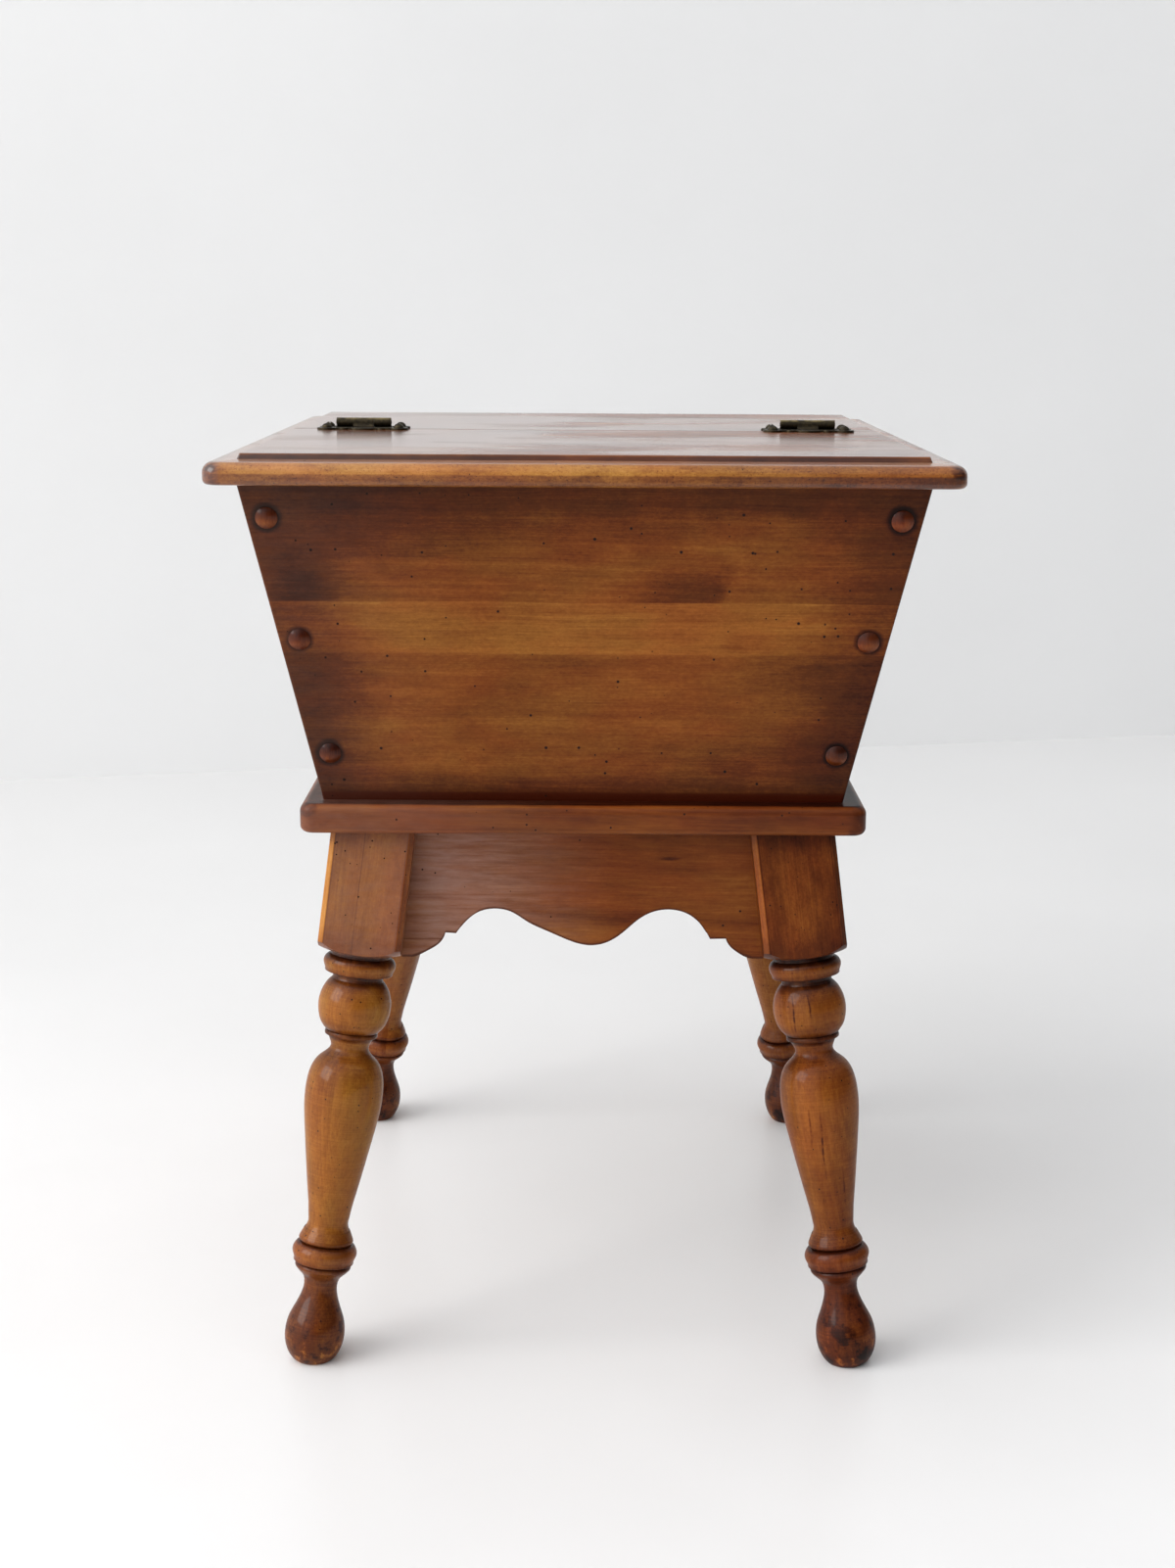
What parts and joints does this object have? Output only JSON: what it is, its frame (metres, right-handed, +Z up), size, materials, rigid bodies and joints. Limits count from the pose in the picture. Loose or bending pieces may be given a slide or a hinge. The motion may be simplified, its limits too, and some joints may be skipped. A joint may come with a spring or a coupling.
{
  "type": "sugar chest",
  "caption": "Flared wooden chest with a hinged half lid, on a scalloped apron frame with splayed turned legs.",
  "frame": {"origin": "on the floor, under the centre of the chest", "axes": "+Z up, front of the chest towards -Y, +X to the right seen from the front"},
  "size_m": [0.486, 0.5504, 0.6457],
  "materials": {
    "top_wood": "nutmeg-stained maple, satin lacquer with burnished, distressed edges",
    "panel_wood": "nutmeg-stained maple, satin lacquer, darker burnished edges and fine dark distress marks",
    "base_wood": "stained maple, satin lacquer, reddish brown",
    "leg_wood": "stained maple, satin lacquer, dark glaze in the turned grooves",
    "apron_wood": "stained maple, satin lacquer",
    "button_wood": "stained maple buttons, reddish brown, satin lacquer",
    "inner_wood": "plain sanded hardwood, unstained",
    "hinge_bronze": "dark antique bronze",
    "screw_steel": "zinc-plated steel"
  },
  "bodies": {
    "root": {"rear_top_board": "top_wood", "top_cleat_rear": "inner_wood", "top_cleat_left": "inner_wood", "top_cleat_right": "inner_wood", "cleat_screws": "screw_steel", "front_panel": "panel_wood", "back_panel": "panel_wood", "left_panel": "panel_wood", "right_panel": "panel_wood", "panel_screws": "screw_steel", "peg_buttons": "button_wood", "base_board": "base_wood", "base_board_screws": "screw_steel", "frame_screws": "screw_steel", "front_left_leg": "leg_wood", "front_right_leg": "leg_wood", "rear_left_leg": "leg_wood", "rear_right_leg": "leg_wood", "front_apron": "apron_wood", "rear_apron": "apron_wood", "left_apron": "apron_wood", "right_apron": "apron_wood", "apron_dowels": "inner_wood", "front_left_brace": "inner_wood", "front_right_brace": "inner_wood", "rear_left_brace": "inner_wood", "rear_right_brace": "inner_wood", "brace_screws": "screw_steel", "hanger_bolts": "screw_steel", "hanger_washers": "screw_steel", "hanger_nuts": "screw_steel", "left_hinge_rear_leaf": "hinge_bronze", "right_hinge_rear_leaf": "hinge_bronze", "left_hinge_pin": "hinge_bronze", "right_hinge_pin": "hinge_bronze", "rear_hinge_screws": "hinge_bronze"},
    "lid": {"lid_board": "top_wood", "left_hinge_lid_leaf": "hinge_bronze", "right_hinge_lid_leaf": "hinge_bronze", "lid_hinge_screws": "hinge_bronze"}
  },
  "joints": [
    {"name": "lid_hinge", "type": "hinge", "parent": "root", "child": "lid", "pos_m": [0, 0.012, 0.6424], "axis": [-1, 0, 0], "range_deg": [0, 180]}
  ]
}
